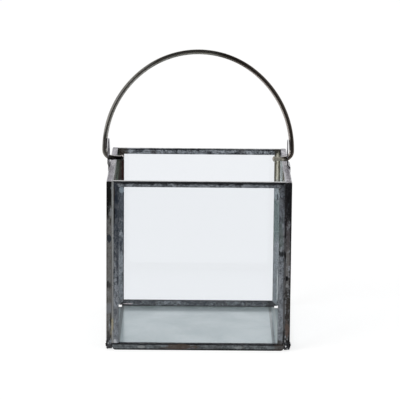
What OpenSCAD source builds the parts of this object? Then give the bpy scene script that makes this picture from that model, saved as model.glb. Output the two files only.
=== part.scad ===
// Open-topped candle lantern: four glazed channel frames on a sheet floor, with a swinging bail.
// Millimetres, +Z up. The origin is the middle of the base, on the ground, and the front faces -Y.

/* [Body] */
// Width of the body across the side frames
body_w = 150.5; // [110:0.5:220]
// Depth of the body from front to back
body_d = 150; // [110:0.5:220]
// Height of the top rails above the ground
body_h = 141; // [90:1:260]

/* [Channels] */
// Thickness of the folded channel sheet
channel_sheet = 0.6; // [0.4:0.05:0.8]
// Outer radius of a channel's two folds
fold_r = 0.9; // [0.85:0.05:1.2]
// Height of a top rail
top_rail_h = 4.7; // [4:0.1:10]
// Height of a bottom rail
bottom_rail_h = 4.6; // [4:0.1:10]
// Width of an upright post
post_w = 5; // [4:0.1:10]
// Hairline left open at each mitred corner
mitre_gap = 0.12; // [0.05:0.01:0.3]
// Gap between the side frames and the frames that stand between them
frame_gap = 0.2; // [0.1:0.05:0.5]
// Corner clipped off each foot of the side frames
foot_clip = 1.4; // [0.8:0.1:1.6]

/* [Glass] */
// Thickness of a pane
glass_t = 3; // [2:0.1:5]
// Play between a pane and each flange of its channels
glass_play = 0.3; // [0.1:0.05:0.6]
// Play between a pane's edges and the webs of its channels
glass_edge_play = 0.4; // [0.2:0.05:0.8]

/* [Base tray] */
// Thickness of the floor sheet
floor_sheet = 0.8; // [0.5:0.1:1.2]
// Height of the lips folded up over the front and back frames
lip_h = 5.5; // [4:0.1:12]
// Radius of the rounded lower ends of the front lip
lip_end_r = 3; // [0.5:0.1:3]
// Distance from the outside of the side frames in to the floor's side edges
floor_inset = 0.5; // [0.2:0.1:2]
// Reach of the relief cut out of each corner of the floor, inside the frames
relief = 3.6; // [1.2:0.1:6]
// Height of the notch over each relief, in the feet of the front and back frames
notch_h = 1.2; // [0.5:0.1:3]

/* [Ears] */
// Width of an ear
ear_w = 22; // [18:1:40]
// Thickness of an ear
ear_sheet = 0.8; // [0.6:0.1:2]
// Height of an ear above the top rail
ear_rise = 21.5; // [19:0.5:40]
// Radius of an ear's lower corners
ear_foot_r = 1.5; // [0.5:0.1:3]
// Step of an ear from its foot, outside the rail, in to its upright part
ear_step = 0.7; // [0:0.1:2]
// Turn of both ears about the vertical, as they were bent by hand
ear_turn = -1.5; // [-3:0.5:3]
// Sideways shift of both ears and the bail, as they were bent by hand
ear_shift = -1.1; // [-1.5:0.1:1.5]
// Play of the bail's rod across the ear's hole
hole_play = 3.2; // [3.1:0.1:4]
// Play left under the rod at the bottom of the ear's hole
hole_drop = 0.6; // [0.6:0.05:0.9]

/* [Bail] */
// Diameter of the bail's rod
rod_d = 4.1; // [3.6:0.1:5.4]
// Height of the bail's pivot above the top rail
pivot_rise = 5.2; // [5:0.1:9]
// Gap between the bail's legs and the ears
leg_gap = 0.9; // [0.8:0.05:1.5]
// Inner radius of the bend from a leg into its pin
bend_inner_r = 4.5; // [2.4:0.1:4.5]
// Straight length of a leg, from the bend up to the arch
leg_len = 1; // [0.5:0.1:60]
// Distance between the centres of a side arc and of the arc over the crown
centre_step = 10.5; // [5:0.5:14]
// Angle that a side arc turns through, from its leg to the arc over the crown
side_sweep = 53; // [30:1:75]
// Swell of the rod where two arcs meet, which makes them one solid
joint_swell = 0.02; // [0.01:0.01:0.1]
// Length of a pin inside the bend, with its neck and head
pin_len = 9.6; // [7:0.1:25]
// Diameter of a pin
pin_d = 3.4; // [2:0.1:3.6]
// Length of the neck that tapers from the rod to the pin
neck_len = 1.5; // [0.5:0.1:3]
// Diameter of a pin's peened head
head_d = 4.4; // [4.2:0.1:6]
// Length of a pin's peened head
head_len = 2.2; // [1:0.1:4]

/* [Solder] */
// Radius of the bead in each corner seam
seam_r = 1.5; // [1.2:0.1:2.5]
// Hairline left open between a seam and the folds that it fills
seam_play = 0.05; // [0.02:0.01:0.1]
// Gap between a seam's ends and the lip below or the top of the posts
seam_end_gap = 0.3; // [0.1:0.1:2]

/* [Hidden] */
$fn = 64;
// Overshoot of a cutter past the face that it cuts
past = 1;
// A channel is as thick as its pane, the play on both sides and two flanges
channel_t = glass_t + 2 * glass_play + 2 * channel_sheet;
// The frames stand on the floor sheet
frame_z = floor_sheet;
frame_h = body_h - frame_z;
// Half width of the front and back frames, which stand between the side frames
cross_x = body_w / 2 - channel_t - frame_gap;
// Outer face of the front and back frames, behind the lips
cross_y = body_d / 2 - floor_sheet;
// Inner faces of the frames, which bound the candle space
inside_x = body_w / 2 - channel_t;
inside_y = cross_y - channel_t;
rod_r = rod_d / 2;
bend_r = bend_inner_r + rod_r;
leg_x = body_w / 2 + ear_sheet - ear_step + leg_gap + rod_r;
pivot_z = body_h + pivot_rise;
arch_z = pivot_z + bend_r + leg_len;
side_r = leg_x + centre_step * cos(side_sweep);
crown_r = side_r - centre_step;
crown_z = arch_z + centre_step * sin(side_sweep);
hole_r = rod_r + hole_play;
hole_z = pivot_z - rod_r - hole_drop + hole_r;
ear_top_z = body_h + ear_rise - ear_w / 2;
// Clearance that keeps an ear's step off the rail below it and the hole above it
step_margin = 0.3;
step_z = [body_h + step_margin, hole_z - hole_r - 2 * step_margin];
// Thinning of each face and edge of an ear's sheet between its two bends
ear_thinning = 0.05;
// Inner edges of the reliefs, and of the notches over them
relief_x = inside_x - relief;
zinc = [0.44, 0.46, 0.49];
floor_zinc = [0.68, 0.70, 0.70];
solder = [0.72, 0.73, 0.74];
steel = [0.22, 0.19, 0.17];
pane = [0.80, 0.90, 0.95, 0.35];

// ---- Folded channels: each frame lies in its own XZ plane, centred on Y, with its foot at Z = 0 --

// Cross-section of a channel: its web lies along Y = 0 and its flanges stand up to Y = depth
module channel_profile(depth) {
    difference() {
        union() {
            translate([-channel_t / 2, fold_r])
                square([channel_t, depth - fold_r]);
            translate([fold_r - channel_t / 2, 0])
                square([channel_t - 2 * fold_r, fold_r]);
            for (side = [-1, 1])
                translate([side * (channel_t / 2 - fold_r), fold_r])
                    circle(r = fold_r);
        }
        translate([channel_sheet - channel_t / 2, channel_sheet])
            square([channel_t - 2 * channel_sheet, depth]);
    }
}

// Channel along X with its web at Z = 0. Each end is mitred from the frame's outer corner to the
// point where the channel meets a neighbour that is first_depth or last_depth wide.
module channel(length, depth, first_depth, last_depth) {
    reach = (length - mitre_gap) / 2;
    intersection() {
        rotate([90, 0, 90])
            linear_extrude(height = length, center = true)
                channel_profile(depth);
        rotate([90, 0, 0])
            linear_extrude(height = channel_t + past, center = true)
                polygon([[-reach, 0], [reach, 0], [reach - last_depth, depth], [first_depth - reach, depth]]);
    }
}

module top_rail(width) {
    translate([0, 0, frame_h])
        mirror([0, 0, 1])
            channel(width, top_rail_h, post_w, post_w);
}

module bottom_rail(width) {
    channel(width, bottom_rail_h, post_w, post_w);
}

// Upright channel at the -X end (side = -1) or the +X end (side = 1) of a frame
module post(width, side) {
    mirror([side > 0 ? 1 : 0, 0, 0])
        translate([-width / 2, 0, frame_h / 2])
            rotate([0, 90, 0])
                channel(frame_h, post_w, top_rail_h, bottom_rail_h);
}

// Pane standing on the web of its bottom rail
module glass(width) {
    edge = channel_sheet + glass_edge_play;
    translate([edge - width / 2, -glass_t / 2, channel_sheet])
        cube([width - 2 * edge, glass_t, frame_h - channel_sheet - edge]);
}

// Takes the two lower corners off a piece of a frame
module clip_feet(width) {
    difference() {
        children();
        for (side = [-1, 1])
            translate([side * width / 2, 0, 0])
                rotate([0, 45, 0])
                    cube([foot_clip * sqrt(2), channel_t + past, foot_clip * sqrt(2)], center = true);
    }
}

// Takes the notches out of the feet of a piece of a frame, over the floor's reliefs
module notch_feet(width) {
    difference() {
        children();
        for (side = [-1, 1])
            translate([side * width / 2, 0, 0])
                cube([width - 2 * relief_x, channel_t + past, 2 * notch_h], center = true);
    }
}

// ---- Places of the four frames ---------------------------------------------------------------

module at_cross(side) {
    translate([0, side * (cross_y - channel_t / 2), frame_z])
        children();
}

module at_side(side) {
    translate([side * (body_w - channel_t) / 2, 0, frame_z])
        rotate([0, 0, 90])
            children();
}

module cross_top_rail(side) {
    color(zinc)
        at_cross(side)
            top_rail(2 * cross_x);
}

module cross_bottom_rail(side) {
    color(zinc)
        at_cross(side)
            notch_feet(2 * cross_x)
                bottom_rail(2 * cross_x);
}

module cross_post(side, end) {
    color(zinc)
        at_cross(side)
            notch_feet(2 * cross_x)
                post(2 * cross_x, end);
}

module cross_glass(side) {
    color(pane)
        at_cross(side)
            glass(2 * cross_x);
}

module side_top_rail(side) {
    color(zinc)
        at_side(side)
            top_rail(body_d);
}

module side_bottom_rail(side) {
    color(zinc)
        at_side(side)
            clip_feet(body_d)
                bottom_rail(body_d);
}

module side_post(side, end) {
    color(zinc)
        at_side(side)
            clip_feet(body_d)
                post(body_d, end);
}

module side_glass(side) {
    color(pane)
        at_side(side)
            glass(body_d);
}

// ---- Base tray -------------------------------------------------------------------------------

// Cross-section of the sheet from the front lip to the back lip, along X of the profile
module tray_profile() {
    difference() {
        union() {
            translate([-body_d / 2, floor_sheet])
                square([body_d, lip_h - floor_sheet]);
            translate([floor_sheet - body_d / 2, 0])
                square([body_d - 2 * floor_sheet, floor_sheet]);
            for (side = [-1, 1])
                translate([side * cross_y, floor_sheet])
                    circle(r = floor_sheet);
        }
        translate([-cross_y, floor_sheet])
            square([2 * cross_y, lip_h]);
    }
}

// Cutter for the +X, +Y corner of the floor, out to far_y
module floor_relief(far_y) {
    near_y = inside_y - relief;
    translate([relief_x, near_y, -past])
        cube([body_w / 2 - relief_x, far_y - near_y, frame_z + notch_h + past]);
}

// Cutter that rounds the lower end of a lip in the +X, +Y corner
module lip_end() {
    translate([cross_x - lip_end_r, body_d / 2 + past, lip_end_r])
        rotate([90, 0, 0])
            linear_extrude(height = floor_sheet + past)
                difference() {
                    translate([0, -lip_end_r - past])
                        square(lip_end_r + past);
                    circle(r = lip_end_r);
                }
}

module base_tray() {
    wing_x = body_w / 2 - floor_inset;
    wing_y = inside_y - relief;
    color(floor_zinc)
        difference() {
            union() {
                rotate([90, 0, 90])
                    linear_extrude(height = 2 * cross_x, center = true)
                        tray_profile();
                translate([-wing_x, -wing_y, 0])
                    cube([2 * wing_x, 2 * wing_y, floor_sheet]);
            }
            for (flip = [0, 1])
                mirror([flip, 0, 0]) {
                    floor_relief(body_d / 2 + past);
                    mirror([0, 1, 0]) {
                        floor_relief(cross_y);
                        lip_end();
                    }
                }
        }
}

// ---- Ears and bail ---------------------------------------------------------------------------

// Outline of an ear's foot, on the outside of the top rail, with the height above the ground along Y
module foot_outline() {
    foot_z = body_h - top_rail_h;
    translate([-ear_w / 2, foot_z + ear_foot_r])
        square([ear_w, step_z[0] - foot_z - ear_foot_r]);
    translate([ear_foot_r - ear_w / 2, foot_z])
        square([ear_w - 2 * ear_foot_r, ear_foot_r]);
    for (side = [-1, 1])
        translate([side * (ear_w / 2 - ear_foot_r), foot_z + ear_foot_r])
            circle(r = ear_foot_r);
}

// Outline of an ear's upright part, with the height above the ground along Y
module upright_outline() {
    difference() {
        union() {
            translate([-ear_w / 2, step_z[1]])
                square([ear_w, ear_top_z - step_z[1]]);
            intersection() {
                translate([0, ear_top_z])
                    circle(d = ear_w);
                translate([-ear_w / 2, ear_top_z])
                    square([ear_w, ear_w]);
            }
        }
        translate([0, hole_z])
            circle(r = hole_r);
    }
}

// Stands a flat piece of ear at a distance x from the middle of the body, turned about the vertical
module ear_plate(x, turn, sheet = ear_sheet) {
    translate([x, 0, 0])
        rotate([90, 0, 90 + turn])
            linear_extrude(height = sheet, center = true)
                children();
}

// Thin slice of an ear at the height z, where the sheet is drawn thinner by its two bends
module ear_slice(x, turn, z) {
    ear_plate(x, turn, ear_sheet - 2 * ear_thinning)
        translate([ear_thinning - ear_w / 2, z - step_margin / 2])
            square([ear_w - 2 * ear_thinning, step_margin / 2]);
}

module ear(side) {
    foot_x = side * (body_w + ear_sheet) / 2;
    upright_x = foot_x - side * ear_step + ear_shift;
    color(zinc) {
        ear_plate(foot_x, 0)
            foot_outline();
        hull() {
            ear_slice(foot_x, 0, step_z[0] - ear_thinning);
            ear_slice(upright_x, ear_turn, step_z[1] + step_margin);
        }
        ear_plate(upright_x, ear_turn)
            upright_outline();
    }
}

// Half section of a peened head: a short cylinder under a shallow dome
module head_profile() {
    dome_r = head_len * 0.8 + head_d / 4;
    intersection() {
        square([head_d / 2, head_len]);
        translate([0, head_len - dome_r])
            circle(r = dome_r);
    }
}

// Arc of rod in the XZ plane round [x, z], from one angle above +X to another
module rod_arc(x, z, radius, from, to) {
    translate([x, 0, z])
        rotate([90, 0, 0])
            rotate([0, 0, from])
                rotate_extrude(angle = to - from)
                    translate([radius, 0])
                        circle(r = rod_r);
}

// Bend, neck, pin and peened head at the foot of the +X leg
module pin() {
    rod_arc(leg_x - bend_r, pivot_z + bend_r, bend_r, -90, 0);
    translate([leg_x - bend_r, 0, pivot_z])
        rotate([0, -90, 0]) {
            cylinder(h = neck_len, r1 = rod_r, r2 = pin_d / 2);
            cylinder(h = pin_len - head_len, d = pin_d);
            translate([0, 0, pin_len - head_len])
                rotate_extrude()
                    head_profile();
        }
}

module bail() {
    color(steel)
        translate([ear_shift, 0, 0]) {
            rod_arc(0, crown_z, crown_r, side_sweep, 180 - side_sweep);
            for (flip = [0, 1])
                mirror([flip, 0, 0]) {
                    translate([crown_r * cos(side_sweep), 0, crown_z + crown_r * sin(side_sweep)])
                        sphere(r = rod_r + joint_swell);
                    rod_arc(leg_x - side_r, arch_z, side_r, 0, side_sweep);
                    translate([leg_x, 0, arch_z - leg_len])
                        cylinder(h = leg_len, r = rod_r);
                    pin();
                }
        }
}

// ---- Solder seams ----------------------------------------------------------------------------

// Rounded corner of a post, grown by the seam's hairline; the post reaches away to +X and +Y
module grown_corner() {
    reach = 2 * seam_r + fold_r;
    translate([fold_r, fold_r])
        circle(r = fold_r + seam_play);
    translate([-seam_play, fold_r])
        square(reach);
    translate([fold_r, -seam_play])
        square(reach);
}

// Section of the seam in the front right corner: a bead between the folds of the two posts
module seam_profile() {
    difference() {
        intersection() {
            translate([inside_x + seam_r / 6, seam_r - body_d / 2])
                circle(r = seam_r);
            translate([inside_x - seam_r, -body_d / 2])
                square([2 * seam_r, floor_sheet + fold_r / 2]);
        }
        translate([inside_x, -body_d / 2])
            grown_corner();
        translate([cross_x, -cross_y])
            mirror([1, 0, 0])
                grown_corner();
    }
}

module seam(side_x, side_y) {
    color(solder)
        mirror([side_x > 0 ? 0 : 1, 0, 0])
            mirror([0, side_y > 0 ? 1 : 0, 0])
                translate([0, 0, lip_h + seam_end_gap])
                    linear_extrude(height = body_h - lip_h - 2 * seam_end_gap)
                        seam_profile();
}

cross_top_rail(-1);  // front_top_rail
cross_bottom_rail(-1);  // front_bottom_rail
cross_post(-1, -1);  // front_left_post
cross_post(-1, 1);  // front_right_post
cross_top_rail(1);  // back_top_rail
cross_bottom_rail(1);  // back_bottom_rail
cross_post(1, -1);  // back_left_post
cross_post(1, 1);  // back_right_post
side_top_rail(-1);  // left_top_rail
side_bottom_rail(-1);  // left_bottom_rail
side_post(-1, -1);  // left_front_post
side_post(-1, 1);  // left_back_post
side_top_rail(1);  // right_top_rail
side_bottom_rail(1);  // right_bottom_rail
side_post(1, -1);  // right_front_post
side_post(1, 1);  // right_back_post
cross_glass(-1);  // front_glass
cross_glass(1);  // back_glass
side_glass(-1);  // left_glass
side_glass(1);  // right_glass
base_tray();
ear(-1);  // left_ear
ear(1);  // right_ear
bail();
seam(-1, -1);  // front_left_seam
seam(1, -1);  // front_right_seam
seam(-1, 1);  // back_left_seam
seam(1, 1);  // back_right_seam
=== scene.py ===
"""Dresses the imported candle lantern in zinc, glass, solder and steel, and sets it in a studio."""

import logging
import math
from collections.abc import Sequence
from dataclasses import dataclass, replace
from enum import Enum

import bmesh
import bpy
from mathutils import Matrix, Vector, noise


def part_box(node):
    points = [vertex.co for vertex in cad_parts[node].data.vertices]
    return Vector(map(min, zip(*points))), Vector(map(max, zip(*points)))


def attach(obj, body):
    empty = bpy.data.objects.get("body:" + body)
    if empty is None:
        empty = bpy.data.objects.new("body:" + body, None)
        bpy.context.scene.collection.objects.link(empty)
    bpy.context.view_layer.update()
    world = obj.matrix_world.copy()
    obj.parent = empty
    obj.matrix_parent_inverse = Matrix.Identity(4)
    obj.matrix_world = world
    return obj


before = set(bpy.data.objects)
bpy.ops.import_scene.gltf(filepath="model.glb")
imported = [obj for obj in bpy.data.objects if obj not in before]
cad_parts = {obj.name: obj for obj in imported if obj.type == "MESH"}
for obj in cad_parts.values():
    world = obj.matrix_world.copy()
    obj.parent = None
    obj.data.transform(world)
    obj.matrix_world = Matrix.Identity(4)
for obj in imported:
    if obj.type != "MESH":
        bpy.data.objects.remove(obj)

MM = 0.001
LANTERN = "lantern"
BAIL = "bail"

Pair = tuple[float, float]
Triple = tuple[float, float, float]
Box = tuple[Vector, Vector]
Node = bpy.types.Node
Socket = bpy.types.NodeSocket
Material = bpy.types.Material
Source = Socket | float | Triple

LOG = logging.getLogger("lantern")


def mm(*lengths: float) -> tuple[float, ...]:
    """Turns lengths in millimetres into metres."""
    return tuple(length * MM for length in lengths)


class Axis(Enum):
    """A direction of the shared frame."""

    X = 0
    Y = 1
    Z = 2


# ---- Node graphs ----

# The Mix node has sockets for every type of value, and these are those of its colours.
MIX_FIRST = 6
MIX_SECOND = 7
MIX_RESULT = 2
PROBES = 4
SEED_STEP: Triple = (0.37, 0.61, 0.23)


class Graph:
    """A node tree, with one short method for each kind of node that the finishes use."""

    def __init__(self, tree: bpy.types.NodeTree) -> None:
        """Clears the tree.

        Args:
            tree: the tree of a material or of the world.
        """
        self.tree = tree
        self.tree.nodes.clear()

    def add(self, kind: str, **settings: object) -> Node:
        """Adds a node.

        Args:
            kind: the node's type, without its ShaderNode prefix.
            settings: properties to set on the node.

        Returns:
            The new node.
        """
        node = self.tree.nodes.new("ShaderNode" + kind)
        for name, value in settings.items():
            setattr(node, name, value)
        return node

    def feed(self, socket: Socket, source: Source) -> None:
        """Links a socket to another one, or sets its value.

        Args:
            socket: the input to feed.
            source: an output socket, a number, a colour or a vector.
        """
        if isinstance(source, Socket):
            self.tree.links.new(source, socket)
        elif isinstance(source, tuple) and socket.type == "RGBA":
            socket.default_value = (*source, 1.0)
        else:
            socket.default_value = source

    def math(self, operation: str, first: Source, second: Source = 0.0) -> Socket:
        """Combines two numbers.

        Args:
            operation: the Math node's operation.
            first: the first number.
            second: the second number.

        Returns:
            The result's socket.
        """
        node = self.add("Math", operation=operation)
        self.feed(node.inputs[0], first)
        self.feed(node.inputs[1], second)
        return node.outputs[0]

    def blend(self, *shares: tuple[Source, float]) -> Socket:
        """Adds up numbers, each times its share.

        Args:
            shares: each number and its share.

        Returns:
            The sum's socket.
        """
        total = self.math("MULTIPLY", *shares[0])
        for value, share in shares[1:]:
            total = self.math("ADD", total, self.math("MULTIPLY", value, share))
        return total

    def vector(self, operation: str, first: Source, second: Source) -> Node:
        """Combines two vectors.

        Args:
            operation: the Vector Math node's operation.
            first: the first vector.
            second: the second vector.

        Returns:
            The node.
        """
        node = self.add("VectorMath", operation=operation)
        self.feed(node.inputs[0], first)
        self.feed(node.inputs[1], second)
        return node

    def span(
        self, value: Source, low: float, high: float, to_low: Source = 0.0, to_high: Source = 1.0
    ) -> Socket:
        """Maps a number smoothly from one span to another, and clamps it there.

        Args:
            value: the number.
            low: the value that becomes to_low.
            high: the value that becomes to_high.
            to_low: the result at low.
            to_high: the result at high.

        Returns:
            The result's socket.
        """
        node = self.add("MapRange", interpolation_type="SMOOTHSTEP")
        for socket, number in zip(node.inputs, (value, low, high, to_low, to_high)):
            self.feed(socket, number)
        return node.outputs[0]

    def mix(self, factor: Source, first: Source, second: Source) -> Socket:
        """Mixes two colours.

        Args:
            factor: the share of the second colour.
            first: the first colour.
            second: the second colour.

        Returns:
            The mixed colour's socket.
        """
        node = self.add("Mix", data_type="RGBA")
        self.feed(node.inputs[0], factor)
        self.feed(node.inputs[MIX_FIRST], first)
        self.feed(node.inputs[MIX_SECOND], second)
        return node.outputs[MIX_RESULT]

    def mix_shaders(self, factor: Source, first: Node, second: Node) -> Node:
        """Mixes two shaders.

        Args:
            factor: the share of the second shader.
            first: the first shader's node.
            second: the second shader's node.

        Returns:
            The mixed shader's node.
        """
        node = self.add("MixShader")
        self.feed(node.inputs[0], factor)
        self.feed(node.inputs[1], first.outputs[0])
        self.feed(node.inputs[2], second.outputs[0])
        return node

    def ramp(self, factor: Source, stops: Sequence[tuple[float, Triple]]) -> Socket:
        """Looks a number up in a colour ramp.

        Args:
            factor: the number.
            stops: each stop's place and colour, in order.

        Returns:
            The colour's socket.
        """
        node = self.add("ValToRGB")
        elements = node.color_ramp.elements
        for element, (place, colour) in zip(elements, (stops[0], stops[-1])):
            element.position = place
            element.color = (*colour, 1.0)
        for place, colour in stops[1:-1]:
            elements.new(place).color = (*colour, 1.0)
        self.feed(node.inputs[0], factor)
        return node.outputs[0]

    def here(self) -> Socket:
        """Gives the piece's own coordinates."""
        return self.add("TexCoord").outputs["Object"]

    def along(self, axis: Axis) -> Socket:
        """Gives the piece's own coordinate along an axis.

        Args:
            axis: the axis.

        Returns:
            The coordinate's socket.
        """
        split = self.add("SeparateXYZ")
        self.feed(split.inputs[0], self.here())
        return split.outputs[axis.value]

    def place(self, seed: int, stretch: Triple = (1.0, 1.0, 1.0)) -> Socket:
        """Gives the piece's own coordinates, moved to a place that belongs to the seed.

        Args:
            seed: which stretch of the endless texture the piece shows.
            stretch: the scale along each axis, under 1 to draw the texture out.

        Returns:
            The coordinates' socket.
        """
        mapping = self.add("Mapping")
        self.feed(mapping.inputs["Vector"], self.here())
        mapping.inputs["Location"].default_value = tuple(step * seed for step in SEED_STEP)
        mapping.inputs["Scale"].default_value = stretch
        return mapping.outputs[0]

    def noise(
        self, where: Source, size: float, detail: float = 3.0, rough: float = 0.55, warp: float = 0.0
    ) -> Socket:
        """Adds noise.

        Args:
            where: the coordinates.
            size: the size of its features, in metres.
            detail: how many finer layers it has.
            rough: how strong the finer layers are.
            warp: how far it is distorted.

        Returns:
            The socket of its value.
        """
        node = self.add("TexNoise")
        names = ("Vector", "Scale", "Detail", "Roughness", "Distortion")
        for name, value in zip(names, (where, 1.0 / size, detail, rough, warp)):
            self.feed(node.inputs[name], value)
        return node.outputs[0]

    def cells(self, where: Source, size: float) -> Socket:
        """Adds a random value for each crystal of a spangled surface.

        Args:
            where: the coordinates.
            size: the size of a crystal, in metres.

        Returns:
            The socket of the value.
        """
        node = self.add("TexVoronoi")
        self.feed(node.inputs["Vector"], where)
        self.feed(node.inputs["Scale"], 1.0 / size)
        split = self.add("SeparateColor")
        self.feed(split.inputs[0], node.outputs["Color"])
        return split.outputs[0]

    def edges(self, reach: float) -> Socket:
        """Finds the sharp edges and folds of a piece.

        Args:
            reach: how far from an edge the mask reaches, in metres.

        Returns:
            The socket of a mask that is 1 on an edge and 0 on a flat face.
        """
        rounded = self.add("Bevel", samples=PROBES)
        rounded.inputs["Radius"].default_value = reach
        flat = self.add("NewGeometry").outputs["True Normal"]
        turn = self.vector("DOT_PRODUCT", rounded.outputs[0], flat)
        return self.span(turn.outputs["Value"], low=0.995, high=0.80)

    def shaded_crevices(self, reach: float) -> Socket:
        """Finds the crevices, where grime gathers and where the darkening is painted shade.

        Args:
            reach: how far off a neighbouring surface may be, in metres.

        Returns:
            The socket of a mask that is 1 deep in a corner and 0 in the open.
        """
        shade = self.add("AmbientOcclusion", samples=PROBES)
        shade.inputs["Distance"].default_value = reach
        return self.span(shade.outputs["AO"], low=0.85, high=0.35)

    def sheen(self, colour: Socket) -> Socket:
        """Gives how much a finish shines by its colour: soot is matt, and bare metal isn't.

        Args:
            colour: the colour of the finish.

        Returns:
            The socket of the specular level.
        """
        tone = self.add("RGBToBW")
        self.feed(tone.inputs[0], colour)
        return self.span(tone.outputs[0], low=0.01, high=0.08, to_low=0.08, to_high=0.5)

    def bump(self, height: Source, depth: float, strength: float) -> Socket:
        """Turns a height into a normal.

        Args:
            height: the height, from 0 to 1.
            depth: what a height of 1 is, in metres.
            strength: the share of the effect.

        Returns:
            The normal's socket.
        """
        node = self.add("Bump")
        node.inputs["Strength"].default_value = strength
        node.inputs["Distance"].default_value = depth
        self.feed(node.inputs["Height"], height)
        return node.outputs[0]

    def shader(self, **inputs: Source) -> Node:
        """Adds the Principled shader.

        Args:
            inputs: values by the names of its inputs, with _ for each space.

        Returns:
            The shader's node.
        """
        node = self.add("BsdfPrincipled")
        for name, value in inputs.items():
            self.feed(node.inputs[name.replace("_", " ")], value)
        return node

    def zinc(self, colour: Source, metal: Source, gloss: Source, normal: Source) -> Node:
        """Adds the shader of zinc or solder, which is matt where it is sooty.

        Args:
            colour: its colour.
            metal: its metallic value.
            gloss: its roughness.
            normal: its normal.

        Returns:
            The shader's node.
        """
        sheen = self.sheen(colour)
        return self.shader(
            Base_Color=colour, Metallic=metal, Roughness=gloss, Specular_IOR_Level=sheen, Normal=normal
        )

    def finish(self, surface: Node, kind: str = "OutputMaterial") -> None:
        """Connects the tree's output.

        Args:
            surface: the node of the shader to show.
            kind: the output node's type, without its ShaderNode prefix.
        """
        self.feed(self.add(kind).inputs["Surface"], surface.outputs[0])


def new_graph(name: str) -> tuple[Material, Graph]:
    """Makes an empty material.

    Args:
        name: the material's name.

    Returns:
        The material and its graph.
    """
    material = bpy.data.materials.new(name)
    material.use_nodes = True
    return material, Graph(material.node_tree)


# ---- Finishes ----

SOOT: Triple = (0.010, 0.010, 0.012)
RUST: Triple = (0.075, 0.052, 0.038)
UMBER: Triple = (0.040, 0.031, 0.024)
INK: Triple = (0.018, 0.026, 0.040)
VERDIGRIS: Triple = (0.10, 0.165, 0.150)
ASH: Triple = (0.40, 0.42, 0.42)
STRAW: Triple = (0.42, 0.38, 0.27)
GREY: Triple = (0.19, 0.197, 0.205)
MOSS: Triple = (0.070, 0.086, 0.066)
BLACK_OLIVE: Triple = (0.034, 0.032, 0.022)
WHITE_ZINC: Triple = (0.72, 0.73, 0.74)
DUSK: Triple = (0.050, 0.045, 0.034)
OPEN = 1.0

# How far a ragged edge wanders, and the share of its radius at which a stain starts to fade.
WANDER = 4.0
SOFT_EDGE = 0.6


@dataclass(frozen=True)
class Stain:
    """Patch of another colour with a ragged edge, round a point given as shares of the piece's box.

    Its radii are in metres, and OPEN along an axis that it isn't limited on.
    """

    at: Triple
    radii: Triple
    colour: Triple
    strength: float
    ragged: float = 0.5

    def cover(self, graph: Graph, box: Box, waves: Socket, below: Source) -> Socket:
        """Lays the stain over a colour.

        Args:
            graph: the graph to add to.
            box: the piece's box.
            waves: noise that makes the stain's edge wander.
            below: the colour under the stain.

        Returns:
            The socket of the colour with the stain on it.
        """
        low, high = box
        centre = tuple(a + share * (b - a) for a, b, share in zip(low, high, self.at))
        offset = graph.vector("SUBTRACT", graph.here(), centre).outputs[0]
        scaled = graph.vector("DIVIDE", offset, self.radii).outputs[0]
        distance = graph.vector("LENGTH", scaled, (0.0, 0.0, 0.0)).outputs["Value"]
        wander = graph.math("MULTIPLY", graph.math("SUBTRACT", waves, 0.5), WANDER * self.ragged)
        edge = graph.math("ADD", distance, wander)
        return graph.mix(graph.span(edge, 1.0, SOFT_EDGE, 0.0, self.strength), below, self.colour)


def band(up: float, reach: float, colour: Triple, strength: float, ragged: float = 0.5) -> Stain:
    """Gives a stain all round a piece at a share of its height, so many millimetres up and down."""
    return Stain((0.5, 0.5, up), (OPEN, OPEN, reach * MM), colour, strength, ragged)


def stripe(across: float, reach: float, colour: Triple, strength: float, ragged: float = 0.5) -> Stain:
    """Gives a stain from top to bottom at a share of a piece's width, with its reach in millimetres."""
    return Stain((across, 0.5, 0.5), (reach * MM, OPEN, OPEN), colour, strength, ragged)


def spot(place: Pair, radii: Pair, colour: Triple, strength: float, ragged: float = 0.5) -> Stain:
    """Gives a stain at shares of a piece's width and height, with its radii in millimetres."""
    across, up = place
    return Stain((across, 0.5, up), (radii[0] * MM, OPEN, radii[1] * MM), colour, strength, ragged)


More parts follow.
